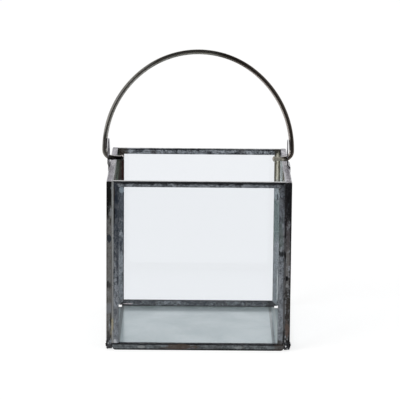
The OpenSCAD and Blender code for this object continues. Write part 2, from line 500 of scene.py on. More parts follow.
@dataclass(frozen=True)
class Patina:
    """Weathered zinc sheet: mottled blue-grey, with ink-blue spots, brown tinges, dark folds, and crevices
    darkened by grime and painted shade.

    In each finish, a field that ends in _at is the span of a noise over which a change comes in.
    """

    name: str = "patina"
    dark: Triple = (0.050, 0.056, 0.067)
    middle: Triple = (0.165, 0.181, 0.203)
    light: Triple = (0.310, 0.337, 0.373)
    stops: Triple = (0.42, 0.50, 0.595)
    shift: float = 0.0
    spots: float = 0.6
    brown: float = 0.3
    fold_bare: float = 0.2
    fold_dark: float = 0.85
    crevice_shade: float = 0.8
    fold: float = 0.45 * MM
    crevice: float = 1.6 * MM
    blotch: float = 3.6 * MM
    speck: float = 1.3 * MM
    crystal: float = 2.4 * MM
    cloud: float = 9.0 * MM
    ink_spot: float = 2.6 * MM
    drawn_out: float = 0.42
    brown_at: Pair = (0.50, 0.68)
    ink_at: Pair = (0.58, 0.68)
    soot_at: Pair = (0.64, 0.44)
    gloss_at: Pair = (0.38, 0.62)
    relief: float = 0.30 * MM
    roughness: Pair = (0.30, 0.52)
    metallic: float = 0.45

    def sheet(
        self, graph: Graph, seed: int, run: Axis, box: Box, stains: Sequence[Stain]
    ) -> tuple[Socket, Socket, Socket]:
        """Adds the sheet's colour, roughness and height.

        Args:
            graph: the graph to add to.
            seed: which stretch of the texture the piece shows.
            run: the direction that the sheet was rolled and folded along.
            box: the piece's box.
            stains: stains on the piece, the last one on top.

        Returns:
            The sockets of the colour, the roughness and the height.
        """
        stretch = tuple(self.drawn_out if axis is run else 1.0 for axis in Axis)
        blotches = graph.noise(graph.place(seed, stretch), self.blotch, detail=4.0, rough=0.70, warp=0.25)
        specks = graph.noise(graph.place(seed + 1), self.speck, rough=0.65)
        spangle = graph.cells(graph.place(seed + 3), self.crystal)
        tone = graph.blend((blotches, 0.50), (specks, 0.42), (spangle, 0.08))
        tone = graph.math("ADD", tone, self.shift)
        colour = graph.ramp(tone, tuple(zip(self.stops, (self.dark, self.middle, self.light))))
        tinge = graph.noise(graph.place(seed + 11), self.cloud, rough=0.6)
        colour = graph.mix(graph.span(tinge, *self.brown_at, 0.0, self.brown), colour, RUST)
        where = graph.place(seed + 17, (1.0, 1.0, 0.6))
        ink = graph.noise(where, self.ink_spot, detail=2.0, rough=0.6, warp=0.4)
        colour = graph.mix(graph.span(ink, *self.ink_at, 0.0, self.spots), colour, INK)
        sooty = graph.span(blotches, *self.soot_at, self.fold_bare, self.fold_dark)
        colour = graph.mix(graph.math("MULTIPLY", graph.edges(self.fold), sooty), colour, SOOT)
        # Grime and painted shade: the ambient-occlusion mask darkens the crevices towards soot.
        grime_and_shade = graph.math("MULTIPLY", graph.shaded_crevices(self.crevice), self.crevice_shade)
        colour = graph.mix(grime_and_shade, colour, SOOT)
        for stain in stains:
            colour = stain.cover(graph, box, blotches, colour)
        gloss = graph.span(tone, *self.gloss_at, *self.roughness[::-1])
        return colour, gloss, tone

    def material(self, node: str, run: Axis, seed: int, stains: Sequence[Stain] = ()) -> Material:
        """Makes the material of one piece.

        Args:
            node: the CAD node that wears it.
            run: the direction that the sheet was rolled and folded along.
            seed: which stretch of the texture the piece shows.
            stains: stains on the piece, the last one on top.

        Returns:
            The material.
        """
        material, graph = new_graph(f"{self.name}_{node}")
        colour, gloss, height = self.sheet(graph, seed, run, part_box(node), stains)
        normal = graph.bump(height, self.relief, strength=0.5)
        graph.finish(graph.zinc(colour, self.metallic, gloss, normal))
        return material


@dataclass(frozen=True)
class FloorZinc:
    """Bright satin zinc sheet with rolling lines and faint water marks."""

    name: str = "floor_zinc"
    seed: int = 5
    bright: Triple = (0.500, 0.562, 0.578)
    dull: Triple = (0.415, 0.480, 0.494)
    metallic: float = 0.32
    roughness: Pair = (0.12, 0.22)
    rolling_line: float = 0.8 * MM
    cloud: float = 30.0 * MM
    water_mark: float = 2.8 * MM
    bright_at: Pair = (0.40, 0.60)
    gloss_at: Pair = (0.36, 0.64)
    smoothing: float = 0.25
    relief: float = 0.25 * MM

    def material(
        self, inside: float, marks: Sequence[Stain], stains: Sequence[Stain], lips: Patina
    ) -> Material:
        """Makes the tray's material, which turns to patina on the lips.

        Args:
            inside: half the depth of the bright floor, in metres.
            marks: stains on the floor.
            stains: stains on the lips.
            lips: the finish of the lips.

        Returns:
            The material.
        """
        material, graph = new_graph(self.name)
        lines = graph.noise(graph.place(self.seed, (0.04, 1.0, 1.0)), self.rolling_line, rough=0.6)
        clouds = graph.noise(graph.place(self.seed + 1), self.cloud, detail=2.0, rough=0.5, warp=0.4)
        spots = graph.noise(graph.place(self.seed + 2), self.water_mark, rough=0.65, warp=0.5)
        tone = graph.blend((clouds, 0.40), (spots, 0.35), (lines, 0.25))
        floor = graph.mix(graph.span(tone, *self.bright_at), self.dull, self.bright)
        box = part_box("base_tray")
        for mark in marks:
            floor = mark.cover(graph, box, spots, floor)
        smooth = graph.span(tone, *self.gloss_at, *self.roughness[::-1])
        lip, rough, lip_height = lips.sheet(graph, self.seed + 4, Axis.X, box, stains)
        is_lip = graph.math("GREATER_THAN", graph.math("ABSOLUTE", graph.along(Axis.Y)), inside)
        colour = graph.mix(is_lip, floor, lip)
        metal = graph.span(is_lip, 0.0, 1.0, self.metallic, lips.metallic)
        gloss = graph.span(is_lip, 0.0, 1.0, smooth, rough)
        folded = graph.math("MULTIPLY", is_lip, lip_height)
        height = graph.math("ADD", graph.math("MULTIPLY", tone, self.smoothing), folded)
        normal = graph.bump(height, self.relief, strength=0.3)
        graph.finish(graph.zinc(colour, metal, gloss, normal))
        return material


@dataclass(frozen=True)
class Solder:
    """Solder: smooth and bright where it ran, dull and blackened by flux elsewhere."""

    name: str = "solder"
    bright: Triple = (0.40, 0.41, 0.41)
    dull: Triple = (0.13, 0.13, 0.13)
    burnt: float = 0.5
    metallic: float = 0.6
    roughness: Pair = (0.26, 0.50)
    run: float = 4.0 * MM
    pit: float = 1.1 * MM
    flux_patch: float = 10.0 * MM
    flux_share: float = 0.97
    bright_at: Pair = (0.40, 0.60)
    flux_at: Pair = (0.72, 0.32)
    flux_edge: float = 0.05
    glint_fleck_at: Pair = (0.56, 0.61)
    glint_fleck_share: float = 0.85
    gloss_at: Pair = (0.35, 0.65)
    relief: float = 0.30 * MM

    def material(self, piece: str, seed: int, box: Box, stains: Sequence[Stain] = ()) -> Material:
        """Makes the material of one piece.

        Args:
            piece: the name of the piece that wears it.
            seed: which stretch of the texture the piece shows.
            box: the piece's box.
            stains: stains on the piece, the last one on top.

        Returns:
            The material.
        """
        material, graph = new_graph(f"{self.name}_{piece}")
        runs = graph.noise(graph.place(seed, (1.0, 1.0, 0.4)), self.run, warp=0.5)
        pits = graph.noise(graph.place(seed + 2), self.pit, detail=2.0, rough=0.5)
        colour = graph.mix(graph.span(runs, *self.bright_at), self.dull, self.bright)
        flux = graph.noise(graph.place(seed + 4, (1.0, 1.0, 0.3)), self.flux_patch, rough=0.6)
        unburnt, charred = self.flux_at
        edge = unburnt + (charred - unburnt) * self.burnt
        black = graph.span(flux, edge - self.flux_edge, edge + self.flux_edge, 0.0, self.flux_share)
        colour = graph.mix(black, colour, SOOT)
        # Bright flecks: partly bare solder showing through, partly painted glints.
        glint_flecks = graph.span(pits, *self.glint_fleck_at, 0.0, self.glint_fleck_share)
        colour = graph.mix(glint_flecks, colour, WHITE_ZINC)
        for stain in stains:
            colour = stain.cover(graph, box, runs, colour)
        gloss = graph.span(runs, *self.gloss_at, *self.roughness[::-1])
        normal = graph.bump(graph.blend((runs, 0.6), (pits, 0.4)), self.relief, strength=0.6)
        graph.finish(graph.zinc(colour, self.metallic, gloss, normal))
        return material


@dataclass(frozen=True)
class RodSteel:
    """Dark steel rod, drawn and oiled.

    The inner side of its right half, which faces the bright room on the left, is painted lighter: a painted
    reflection that fades in along X between the two places given for it; inner_at is the span of the
    normal's X there. Scale round the right pin takes its metallic value down.
    """

    name: str = "dark_steel"
    seed: int = 21
    steel: Triple = (0.34, 0.332, 0.312)
    tinge: Triple = (0.275, 0.26, 0.23)
    tarnish: Triple = (0.14, 0.118, 0.096)
    painted_reflection: Triple = (0.41, 0.365, 0.335)
    painted_reflection_from: float = 10.0 * MM
    painted_reflection_to: float = 30.0 * MM
    metallic: Triple = (0.95, 0.95, 0.95)
    scale: Stain = spot((0.905, 0.0), (11.0, 6.0), (0.30, 0.30, 0.30), 1.0, 0.1)
    roughness: Pair = (0.10, 0.18)
    cloud: float = 11.0 * MM
    scuff: float = 3.0 * MM
    tinge_at: Pair = (0.40, 0.62)
    tinge_share: float = 0.9
    tarnish_at: Pair = (0.56, 0.68)
    tarnish_share: float = 0.6
    inner_at: Pair = (-0.10, -0.55)
    gloss_at: Pair = (0.35, 0.65)
    relief: float = 0.06 * MM

    def material(self, stains: Sequence[Stain]) -> Material:
        """Makes the material.

        Args:
            stains: stains on the rod, the last one on top.

        Returns:
            The material.
        """
        material, graph = new_graph(self.name)
        clouds = graph.noise(graph.place(self.seed), self.cloud, warp=0.5)
        scuffs = graph.noise(graph.place(self.seed + 1), self.scuff, rough=0.6)
        tinged = graph.span(clouds, *self.tinge_at, 0.0, self.tinge_share)
        colour = graph.mix(tinged, self.steel, self.tinge)
        tarnished = graph.span(scuffs, *self.tarnish_at, 0.0, self.tarnish_share)
        colour = graph.mix(tarnished, colour, self.tarnish)
        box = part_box(BAIL)
        for stain in stains:
            colour = stain.cover(graph, box, clouds, colour)
        facing = graph.add("SeparateXYZ")
        graph.feed(facing.inputs[0], graph.add("NewGeometry").outputs["Normal"])
        inner = graph.span(facing.outputs[0], *self.inner_at)
        right_half = graph.span(graph.along(Axis.X), self.painted_reflection_from, self.painted_reflection_to)
        # Painted reflection: the left-facing side of the right half is lightened, as if it mirrored the
        # bright room on the left.
        colour = graph.mix(graph.math("MULTIPLY", inner, right_half), colour, self.painted_reflection)
        gloss = graph.span(clouds, *self.gloss_at, *self.roughness)
        normal = graph.bump(graph.blend((scuffs, 0.4), (clouds, 0.6)), self.relief, strength=0.3)
        metal = self.scale.cover(graph, box, clouds, self.metallic)
        graph.finish(graph.shader(Base_Color=colour, Metallic=metal, Roughness=gloss, Normal=normal))
        return material


@dataclass(frozen=True)
class PaneGlass:
    """Clear float glass with a faint blue tint, and a film of dust and wipe marks."""

    name: str = "clear_glass"
    tint: Triple = (0.985, 0.992, 0.996)
    shine: Triple = (0.60, 0.62, 0.64)
    shadow: Triple = (0.90, 0.92, 0.93)
    ior: float = 1.5
    wipe: float = 30.0 * MM
    wipe_at: Pair = (0.55, 0.75)
    smear: float = 0.03
    ripple: float = 60.0 * MM
    relief: float = 0.02 * MM

    def material(self, node: str, seed: int) -> Material:
        """Makes the material of one pane. Rays from lamps pass straight through it.

        Args:
            node: the CAD node that wears it.
            seed: which stretch of the texture the pane shows.

        Returns:
            The material.
        """
        material, graph = new_graph(f"{self.name}_{node}")
        where = graph.place(seed, (1.0, 1.0, 0.25))
        wipes = graph.noise(where, self.wipe, detail=4.0, rough=0.6, warp=1.2)
        ripples = graph.noise(graph.place(seed + 1), self.ripple, detail=1.0)
        glass = graph.shader(
            Base_Color=self.tint,
            Roughness=graph.span(wipes, *self.wipe_at, 0.0, self.smear),
            IOR=self.ior,
            Transmission_Weight=1.0,
            Specular_Tint=self.shine,
            Normal=graph.bump(ripples, self.relief, strength=0.2),
        )
        clear = graph.add("BsdfTransparent")
        graph.feed(clear.inputs["Color"], self.shadow)
        path = graph.add("LightPath")
        unbent = graph.math("MAXIMUM", path.outputs["Is Shadow Ray"], path.outputs["Is Diffuse Ray"])
        graph.finish(graph.mix_shaders(unbent, glass, clear))
        return material


# ---- Meshes ----


def dress(node: str, material: Material) -> None:
    """Gives a CAD node its material.

    Args:
        node: the node's name.
        material: the material to wear.
    """
    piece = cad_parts[node]
    piece.data.materials.clear()
    piece.data.materials.append(material)
    LOG.info("dressed %s", node)


def add_piece(name: str, mesh: bmesh.types.BMesh, material: Material) -> None:
    """Turns a mesh into a smooth piece that rides on the lantern.

    Args:
        name: the piece's name.
        mesh: its mesh, in metres in the shared frame; it is freed.
        material: its material.
    """
    data = bpy.data.meshes.new(name)
    bmesh.ops.recalc_face_normals(mesh, faces=mesh.faces)
    mesh.to_mesh(data)
    mesh.free()
    for polygon in data.polygons:
        polygon.use_smooth = True
    piece = bpy.data.objects.new(name, data)
    bpy.context.scene.collection.objects.link(piece)
    data.materials.append(material)
    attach(piece, LANTERN)
    LOG.info("made %s", name)


@dataclass(frozen=True)
class Lump:
    """A ragged lump of solder, placed by shares of a node's box and then moved by an offset in metres."""

    name: str
    node: str
    at: Triple
    offset: Triple
    radii: Triple
    finish: Solder
    ragged: float = 0.35
    limit_y: float = 74.9 * MM
    coarseness: float = 3.5
    seed_step: float = 7.3

    def mesh(self, seed: int) -> bmesh.types.BMesh:
        """Makes the lump's mesh, which stays behind the front of the lips.

        Args:
            seed: which lumps and hollows it has.

        Returns:
            The mesh.
        """
        low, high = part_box(self.node)
        shares = zip(low, high, self.at, self.offset)
        centre = Vector([a + share * (b - a) + step for a, b, share, step in shares])
        radii = Vector(self.radii)
        longest = max(radii)
        mesh = bmesh.new()
        bmesh.ops.create_icosphere(mesh, subdivisions=4, radius=1.0)
        for vertex in mesh.verts:
            way = vertex.co.normalized()
            where = Vector([part * radius / longest for part, radius in zip(way, radii)])
            moved = self.coarseness * where + Vector((self.seed_step * seed, 0.0, 0.0))
            swell = noise.fractal(moved, 1.0, 2.0, 3)
            reach = way * (1.0 + self.ragged * swell)
            vertex.co = centre + Vector([part * radius for part, radius in zip(reach, radii)])
            vertex.co.y = max(-self.limit_y, min(self.limit_y, vertex.co.y))
            vertex.co.z = max(0.0, vertex.co.z)
        return mesh


# ---- The lantern ----

BASE = Patina()
# Painted top light: the side top rails, seen from above, get a lighter finish as if lit from above; the
# ears start from these lighter tones.
TOP_LIT_WEB = replace(
    BASE, dark=(0.14, 0.135, 0.155), middle=(0.31, 0.295, 0.335), light=(0.47, 0.452, 0.495), brown=0.1
)
EAR = replace(TOP_LIT_WEB, spots=0.25, brown=0.1, metallic=0.7, roughness=(0.25, 0.40))
FINISHES: dict[str, Patina] = {
    "front_top_rail": replace(BASE, dark=(0.075, 0.083, 0.096), shift=0.012, brown=0.15),
    "back_top_rail": replace(BASE, dark=(0.030, 0.034, 0.042), light=(0.36, 0.39, 0.43)),
    "left_top_rail": replace(TOP_LIT_WEB, shift=-0.014, spots=0.3, roughness=(0.22, 0.40)),
    "right_top_rail": replace(TOP_LIT_WEB, spots=0.4, roughness=(0.22, 0.40)),
    "left_bottom_rail": replace(BASE, shift=0.02),
    "right_bottom_rail": replace(BASE, shift=0.035),
    "back_bottom_rail": replace(BASE, shift=-0.045),
    "front_left_post": replace(BASE, shift=0.022),
    "front_right_post": replace(BASE, shift=0.022),
    "back_left_post": replace(BASE, shift=0.036),
    "back_right_post": replace(BASE, shift=0.085, roughness=(0.24, 0.42)),
    "right_front_post": replace(
        BASE, dark=(0.020, 0.020, 0.021), middle=(0.085, 0.083, 0.083), brown=0.6
    ),
    "left_ear": EAR,
    "right_ear": replace(EAR, middle=(0.285, 0.287, 0.315), light=(0.44, 0.445, 0.475)),
}
STAINS: dict[str, tuple[Stain, ...]] = {
    "front_top_rail": (
        Stain((0.5, 0.0, 1.0), (OPEN, OPEN, 3.0 * MM), SOOT, 0.9, 0.35),
        # Painted highlight: a white line along the top of the rail, where the web catches the light.
        Stain((0.5, 0.6, 1.0), (OPEN, 2.6 * MM, 0.5 * MM), WHITE_ZINC, 0.85, 0.2),
        Stain((0.0, 0.0, 0.0), mm(6.0, 1.0, 6.0), INK, 0.7),
        Stain((1.0, 0.0, 0.0), mm(6.0, 1.0, 6.0), SOOT, 0.75),
    ),
    "back_top_rail": (
        Stain((0.5, 0.0, 1.0), (OPEN, 1.0 * MM, 1.3 * MM), SOOT, 0.85, 0.3),
        stripe(0.0, 12.0, UMBER, 0.9),
        stripe(1.0, 7.0, DUSK, 0.8, 0.7),
    ),
    "back_bottom_rail": (
        stripe(0.0, 7.0, SOOT, 0.75),
        stripe(1.0, 9.0, SOOT, 0.8),
    ),
    "left_top_rail": (spot((1.0, 0.2), (1.0, 4.0), MOSS, 0.8, 0.2),),
    "left_back_post": (
        spot((0.4, 1.0), (6.0, 60.0), (0.41, 0.465, 0.43), 0.9, 0.3),
        spot((1.0, 1.0), (1.6, 60.0), MOSS, 0.9, 0.2),
    ),
    "right_back_post": (spot((0.3, 1.0), (6.0, 60.0), (0.74, 0.79, 0.79), 0.9, 0.2),),
    "front_left_post": (
        band(1.0, 92.0, INK, 0.66, 0.6),
        band(1.0, 30.0, INK, 0.5, 0.9),
        spot((0.5, 0.89), (1.6, 4.0), INK, 0.8, 0.6),
        spot((0.55, 0.21), (1.5, 3.5), INK, 0.7, 0.9),
        spot((0.0, 0.9), (1.8, 30.0), UMBER, 0.85),
        spot((0.12, 0.8), (1.6, 9.0), SOOT, 0.8, 0.7),
        stripe(0.0, 0.6, SOOT, 0.6, 0.3),
        # Lighter towards the bottom: painted light from the floor.
        band(0.12, 30.0, (0.215, 0.233, 0.258), 0.3, 0.8),
        # Painted highlight: a pale spot at the foot of the front face.
        Stain((0.45, 0.0, 0.03), (1.8 * MM, OPEN, 3.0 * MM), (0.55, 0.57, 0.6), 0.9, 0.5),
    ),
    "front_right_post": (
        band(1.0, 60.0, INK, 0.35, 0.5),
        spot((0.3, 0.69), (3.0, 15.0), (0.125, 0.165, 0.152), 0.5, 0.6),
        band(1.0, 11.0, SOOT, 0.6),
        # Lighter towards the bottom: painted light from the floor.
        band(0.15, 34.0, (0.24, 0.26, 0.283), 0.35, 0.8),
        spot((0.35, 0.575), (2.4, 2.6), (0.02, 0.022, 0.024), 0.85, 0.6),
        band(0.02, 5.0, UMBER, 0.7),
    ),
    "back_left_post": (
        Stain((1.0, 0.5, 0.6), (1.0 * MM, OPEN, OPEN), SOOT, 0.7, 0.2),
        band(0.9, 88.0, INK, 0.85, 0.5),
        band(1.0, 38.0, UMBER, 0.92, 0.3),
        spot((0.8, 0.86), (1.6, 13.0), (0.03, 0.01, 0.01), 0.9, 0.5),
        spot((0.0, 0.93), (1.4, 18.0), MOSS, 0.85, 0.2),
        spot((0.6, 0.74), (2.2, 3.4), (0.27, 0.32, 0.365), 0.8, 0.6),
    ),
    "back_right_post": (
        # Lighter towards the bottom: painted light from the floor.
        band(0.2, 44.0, (0.32, 0.35, 0.375), 0.45, 0.8),
        Stain((0.4, 0.5, 0.56), (OPEN, OPEN, 24.0 * MM), VERDIGRIS, 0.6),
        band(0.74, 9.0, (0.31, 0.36, 0.39), 0.7, 0.4),
        band(0.94, 24.0, (0.68, 0.65, 0.53), 0.9, 0.2),
        spot((0.0, 0.9), (2.4, 26.0), (0.07, 0.066, 0.048), 0.9, 0.25),
        spot((0.95, 0.9), (1.9, 26.0), (0.07, 0.066, 0.048), 0.9, 0.25),
        band(1.0, 4.5, DUSK, 0.8, 0.7),
        spot((0.65, 0.695), (0.9, 4.0), INK, 0.8, 0.5),
        spot((0.78, 0.13), (0.6, 17.0), (0.64, 0.68, 0.68), 0.9, 0.1),
    ),
    "left_front_post": (
        band(0.5, 75.0, (0.155, 0.145, 0.13), 0.7, 0.4),
        # Painted highlight: a thin pale line along the folded inner edge.
        spot((1.0, 0.75), (0.8, 55.0), (0.3, 0.3, 0.285), 0.5, 0.15),
        spot((0.3, 1.0), (4.0, 40.0), (0.006, 0.006, 0.005), 0.96, 0.4),
        stripe(0.0, 0.9, SOOT, 0.7, 0.3),
        spot((0.5, 0.66), (2.0, 4.0), INK, 0.85),
        spot((0.4, 0.385), (2.2, 4.0), SOOT, 0.7),
        band(0.24, 5.0, (0.2, 0.215, 0.235), 0.6, 0.4),
        spot((1.0, 0.1), (1.3, 9.0), (0.4, 0.35, 0.2), 0.7, 0.4),
        spot((0.75, 0.16), (1.0, 9.0), BLACK_OLIVE, 0.95, 0.5),
        band(0.0, 11.0, (0.03, 0.028, 0.03), 0.8, 0.9),
        # Light specks on the blackened foot: partly bright solder, partly painted glints.
        spot((0.35, 0.03), (0.6, 1.0), ASH, 0.9, 0.4),
        spot((0.75, 0.055), (0.5, 1.2), GREY, 0.9, 0.4),
    ),
    "right_front_post": (
        band(1.0, 44.0, SOOT, 0.93, 0.5),
        spot((0.45, 0.56), (1.6, 30.0), (0.2, 0.195, 0.195), 0.7, 0.8),
        band(0.68, 14.0, (0.06, 0.052, 0.058), 0.7),
        stripe(1.0, 1.2, SOOT, 0.92, 0.3),
        spot((0.15, 0.43), (3.0, 2.4), SOOT, 0.97, 0.5),
        spot((0.4, 0.385), (1.5, 1.9), (0.26, 0.265, 0.27), 0.9, 0.1),
        spot((0.4, 0.385), (0.7, 0.9), GREY, 0.9, 0.1),
        spot((0.5, 0.23), (2.0, 19.0), (0.04, 0.036, 0.033), 0.85, 0.9),
        spot((0.45, 0.11), (1.5, 9.5), (0.125, 0.088, 0.075), 0.8, 1.0),
        band(0.0, 12.0, SOOT, 0.82, 0.9),
        # Light specks on the blackened foot: partly bright solder, partly painted glints.
        spot((0.12, 0.05), (0.8, 1.5), ASH, 0.95, 0.4),
        spot((0.55, 0.062), (0.7, 1.1), GREY, 0.95, 0.4),
        spot((0.3, 0.018), (0.9, 1.0), WHITE_ZINC, 0.95, 0.4),
    ),
    "left_ear": (
        Stain((0.5, 0.0, 0.378), (OPEN, 6.5 * MM, 3.3 * MM), BLACK_OLIVE, 0.95, 0.25),
        Stain((0.5, 0.0, 0.16), (OPEN, 9.0 * MM, 4.8 * MM), BLACK_OLIVE, 0.9, 0.5),
    ),
    "right_ear": (
        Stain((0.5, 0.0, 0.378), (OPEN, 6.5 * MM, 3.1 * MM), BLACK_OLIVE, 0.95, 0.25),
        spot((0.0, 0.25), (1.4, 5.0), SOOT, 0.9, 0.2),
        # Painted highlight: a pale patch on the foot tab, where it catches the light.
        spot((1.0, 0.05), (1.2, 2.4), (0.42, 0.42, 0.43), 0.9, 0.2),
    ),
    "floor": (
        Stain((0.5, 1.0, 0.5), (OPEN, 14.0 * MM, OPEN), (0.2, 0.28, 0.265), 0.5, 1.0),
        stripe(0.057, 1.7, (0.19, 0.205, 0.205), 0.8, 0.3),
        stripe(0.92, 1.5, (0.18, 0.2, 0.205), 0.8, 0.3),
        # Painted light: a pale stripe along the right wall that lightens the shade there.
        stripe(0.943, 1.5, (0.64, 0.7, 0.7), 0.9, 0.2),
    ),
    "base_tray": (
        Stain((0.5, 0.0, 0.5), (OPEN, 3.0 * MM, OPEN), (0.085, 0.098, 0.096), 0.55, 0.0),
        # Painted shadow: a black line along the top of the lip, where it meets the glass.
        Stain((0.5, 0.0, 1.0), (OPEN, 3.0 * MM, 1.2 * MM), SOOT, 1.0, 0.06),
        # Dark line along the bottom of the lip: partly patina, partly painted shade under the edge.
        Stain((0.5, 0.0, 0.0), (OPEN, 3.0 * MM, 1.7 * MM), SOOT, 0.9, 0.12),
        Stain((0.4, 0.0, 0.6), mm(16.0, 3.0, 3.0), RUST, 0.8),
        Stain((0.19, 0.0, 0.5), mm(4.0, 3.0, 1.2), ASH, 0.5),
        Stain((0.72, 0.0, 0.5), mm(5.0, 3.0, 1.1), ASH, 0.4),
        Stain((0.955, 0.0, 0.5), mm(7.0, 3.0, 5.0), (0.06, 0.046, 0.038), 0.6),
    ),
    "front_left_seam": (
        Stain((0.5, 0.5, 0.5), (OPEN, OPEN, OPEN), (0.36, 0.365, 0.36), 0.9, 0.0),
        band(0.78, 52.0, ASH, 0.85, 0.3),
        spot((0.0, 0.35), (0.6, 62.0), (0.12, 0.12, 0.12), 0.8, 0.2),
        band(0.12, 6.0, STRAW, 0.9, 0.4),
    ),
    "front_right_seam": (
        Stain((0.5, 0.5, 0.5), (OPEN, OPEN, OPEN), SOOT, 0.95, 0.0),
        band(0.36, 48.0, (0.12, 0.12, 0.125), 0.8, 1.2),
    ),
    "back_right_seam": (band(0.8, 60.0, ASH, 0.9, 0.2),),
    BAIL: (
        # Painted shade: the right half of the bail is darker, as it is turned away from the light on the
        # left.
        Stain((1.0, 0.5, 0.4), (82.0 * MM, OPEN, OPEN), (0.115, 0.094, 0.079), 0.92, 0.1),
        spot((0.077, 0.51), (14.0, 22.0), (0.24, 0.232, 0.218), 0.8, 0.2),
        spot((0.47, 1.0), (26.0, 12.0), (0.36, 0.345, 0.305), 0.8, 0.2),
        spot((0.905, 0.0), (11.0, 6.0), (0.4, 0.38, 0.32), 0.9, 0.2),
        spot((0.1, 0.0), (17.0, 6.0), (0.01, 0.009, 0.009), 0.97, 0.2),
        # Painted highlight: a pale line along the top of the left pin.
        spot((0.11, 0.052), (10.0, 1.9), (0.8, 0.74, 0.72), 0.97, 0.0),
    ),
}
CHARRED = Solder(burnt=1.0)
SMOKED = Solder(burnt=0.75)
DULLED = Solder(burnt=0.4)
# Painted light: the pale finish of the bead that stands for the light seen through the gap under the back
# rail.
GAP_LIGHT_SOLDER = Solder(bright=(0.86, 0.76, 0.80), dull=(0.66, 0.56, 0.60), burnt=-1.0)
LUMPS = (
    Lump("left_foot_solder", "left_front_post", (0.0, 0.0, 0.0), mm(1.0, 1.1, 3.0),
         mm(1.35, 1.1, 3.0), SMOKED, 0.6),
    Lump("left_foot_drip", "left_front_post", (0.55, 0.0, 0.0), mm(0.0, 1.0, 1.0),
         mm(2.0, 1.0, 1.0), CHARRED, 0.6),
    Lump("right_foot_solder", "right_front_post", (1.0, 0.0, 0.0), mm(-1.2, 1.1, 3.6),
         mm(1.7, 1.15, 2.6), CHARRED, 0.7),
    Lump("right_foot_drip", "right_front_post", (0.45, 0.0, 0.0), mm(0.0, 1.0, 1.0),
         mm(2.5, 1.1, 1.2), CHARRED, 0.7),
    Lump("right_foot_spatter", "right_front_post", (0.1, 0.0, 0.0), mm(0.0, 0.9, 4.6),
         mm(1.3, 0.9, 1.6), CHARRED, 0.8),
    Lump("left_back_solder", "left_back_post", (0.0, 1.0, 0.0), mm(1.0, -1.1, 2.6),
         mm(1.2, 1.1, 2.8), SMOKED, 0.5),
    Lump("right_back_solder", "right_back_post", (1.0, 1.0, 0.0), mm(-1.0, -1.1, 2.6),
         mm(1.2, 1.1, 2.8), SMOKED, 0.5),
    Lump("left_ear_solder", "left_ear", (0.6, 0.5, 0.0), mm(0.0, 0.0, 5.0), mm(0.7, 8.5, 0.8), SMOKED),
    Lump("right_ear_solder", "right_ear", (0.6, 0.5, 0.0), mm(0.0, 0.0, 5.0), mm(0.7, 8.5, 0.8), DULLED),
    Lump("left_ear_foot_solder", "left_ear", (0.5, 0.5, 0.0), mm(0.3, 0.0, 0.0), mm(0.7, 9.0, 0.6), SMOKED),
    Lump("right_ear_foot_solder", "right_ear", (0.5, 0.5, 0.0), mm(0.9, 0.0, 0.0),
         mm(0.7, 9.0, 0.6), DULLED),
    # Painted light: a pale bead under the back rail, standing for the light seen through the gap there.
    Lump("back_foot_gap_light", "back_bottom_rail", (0.0, 0.0, 0.0), mm(7.6, 0.0, 1.9),
         mm(4.6, 0.35, 0.40), GAP_LIGHT_SOLDER, 0.25),
)


@dataclass
class GlazedFrame:
    """One of the four frames: two rails along the wall, two posts at its ends, and a pane."""

    wall: str
    run: Axis
    ends: tuple[str, str]
    seed: int
    pane: PaneGlass = PaneGlass()

    def build(self) -> None:
        """Dresses the frame's nodes."""
        pieces = [(f"{self.wall}_{rail}_rail", self.run) for rail in ("top", "bottom")]
        pieces += [(f"{self.wall}_{end}_post", Axis.Z) for end in self.ends]
        for number, (node, run) in enumerate(pieces):
            finish = FINISHES.get(node, BASE)
            dress(node, finish.material(node, run, self.seed + number, STAINS.get(node, ())))
        node = f"{self.wall}_glass"
        dress(node, self.pane.material(node, self.seed))


@dataclass
class BaseTray:
    """The sheet floor and its two lips."""

    floor: FloorZinc = FloorZinc()
    lips: Patina = BASE

    def build(self) -> None:
        """Dresses the tray."""
        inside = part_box("back_bottom_rail")[0].y
        material = self.floor.material(inside, STAINS["floor"], STAINS["base_tray"], self.lips)
        dress("base_tray", material)


@dataclass
class SolderWork:
    """The solder in the four corners, and the lumps at the feet of the posts and the ears."""

    seams: tuple[str, ...] = ("front_left_seam", "front_right_seam", "back_left_seam", "back_right_seam")
    lumps: tuple[Lump, ...] = LUMPS
    finish: Solder = Solder()
    seam_seed: int = 60
    seam_seed_step: int = 5
    lump_seed: int = 90

    def build(self) -> None:
        """Dresses the seams and makes the lumps."""
        self.dress_seams()
        self.make_lumps()

    def dress_seams(self) -> None:
        """Gives each seam its own run of solder."""
        for number, node in enumerate(self.seams):
            seed = self.seam_seed + self.seam_seed_step * number
            dress(node, self.finish.material(node, seed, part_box(node), STAINS.get(node, ())))

    def make_lumps(self) -> None:
        """Makes each lump in its own finish."""
        for number, lump in enumerate(self.lumps):
            material = lump.finish.material(lump.name, self.lump_seed + number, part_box(lump.node))
            add_piece(lump.name, lump.mesh(number), material)


@dataclass
class Ears:
    """The two sheet ears that hold the bail."""

    names: tuple[str, ...] = ("left_ear", "right_ear")
    seed: int = 40

    def build(self) -> None:
        """Dresses the ears."""
        for number, node in enumerate(self.names):
            dress(node, FINISHES[node].material(node, Axis.Z, self.seed + number, STAINS[node]))


@dataclass
class Bail:
    """The swinging handle."""

    finish: RodSteel = RodSteel()

    def build(self) -> None:
        """Dresses the bail."""
        dress(BAIL, self.finish.material(STAINS[BAIL]))


# ---- Studio ----

BLACK: Triple = (0.0, 0.0, 0.0)
WHITE: Triple = (1.0, 1.0, 1.0)


